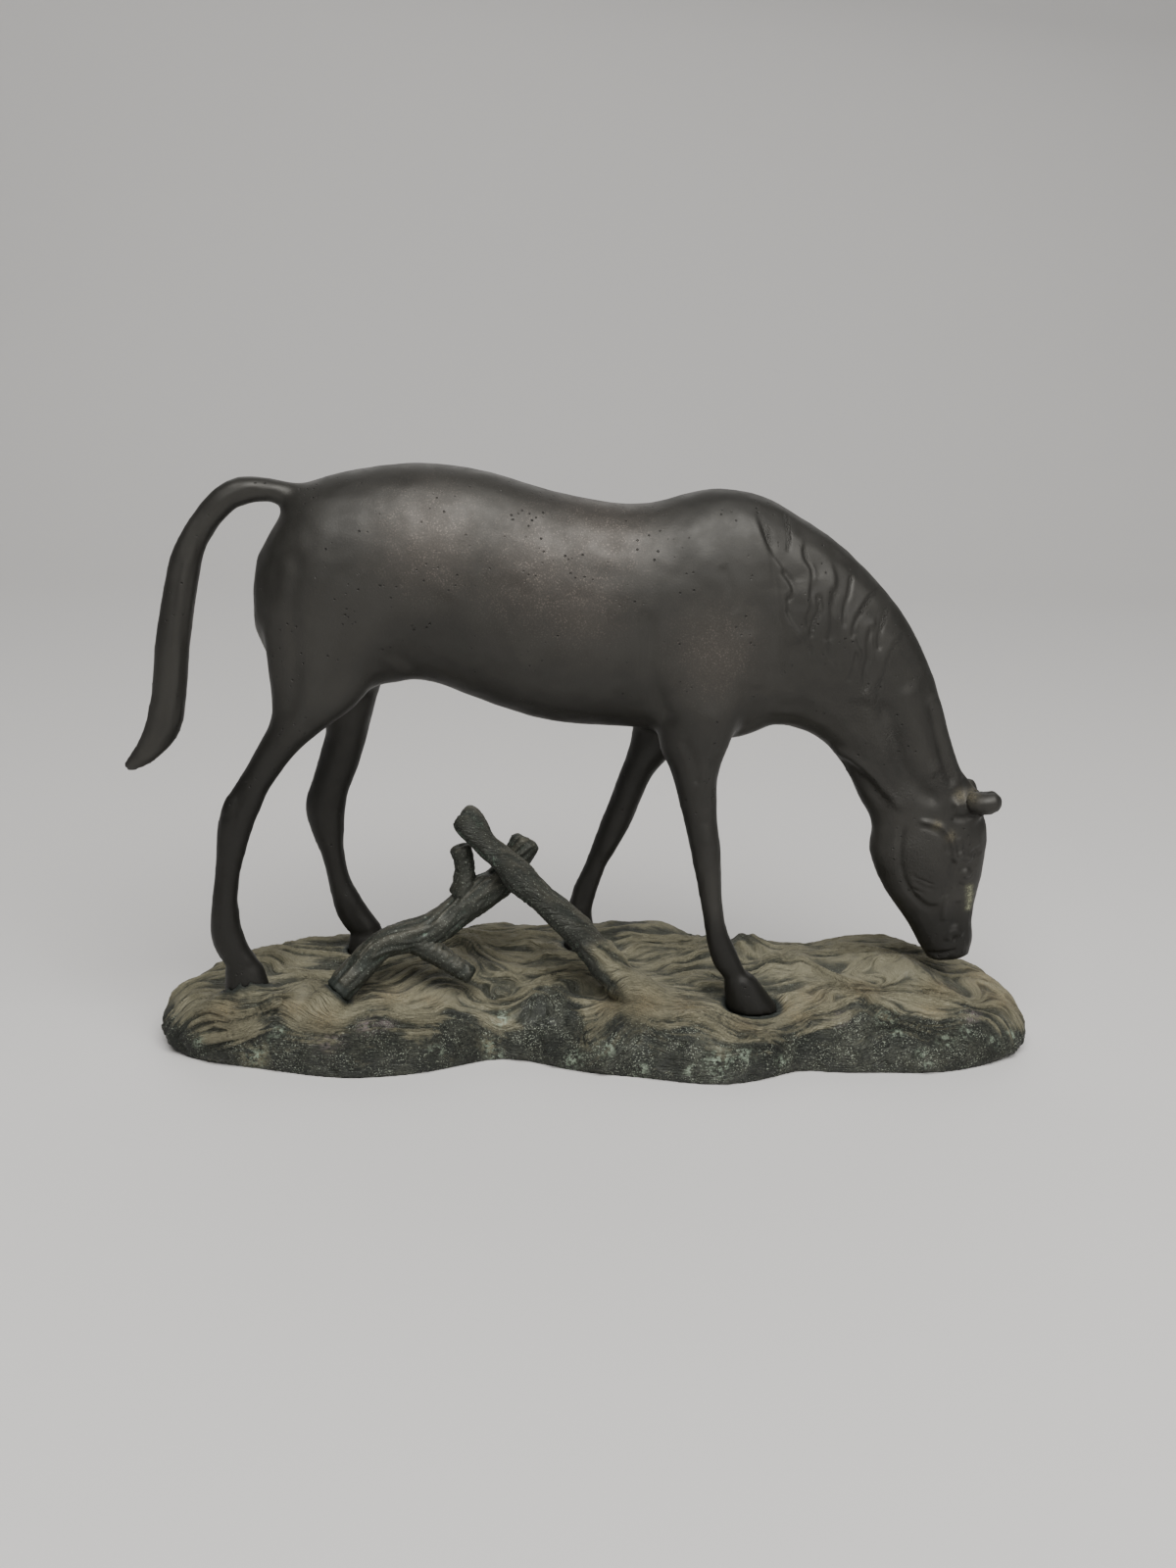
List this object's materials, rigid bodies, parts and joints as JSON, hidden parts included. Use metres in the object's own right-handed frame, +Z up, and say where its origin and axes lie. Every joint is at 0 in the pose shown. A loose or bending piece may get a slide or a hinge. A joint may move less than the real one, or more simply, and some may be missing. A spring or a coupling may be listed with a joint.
{
  "type": "grazing horse figurine",
  "caption": "Cast bronze figurine of a grazing horse on a flowing ground base, with fallen branches crossed under its belly.",
  "frame": {"origin": "on the supporting surface, under the middle of the bounding box's footprint", "axes": "+X from the tail towards the horse's head, +Z up; the picture looks along +Y, at the horse's right side"},
  "size_m": [0.3142, 0.0822, 0.2013],
  "materials": {
    "dark_bronze_patina": "dark brown patinated bronze, satin",
    "tan_green_patina": "tan and green-grey patinated bronze, matt",
    "green_grey_patina": "green-grey patinated bronze with verdigris, matt"
  },
  "bodies": {
    "root": {"horse": "dark_bronze_patina", "ground_base": "tan_green_patina", "forked_branch": "green_grey_patina"}
  },
  "joints": []
}
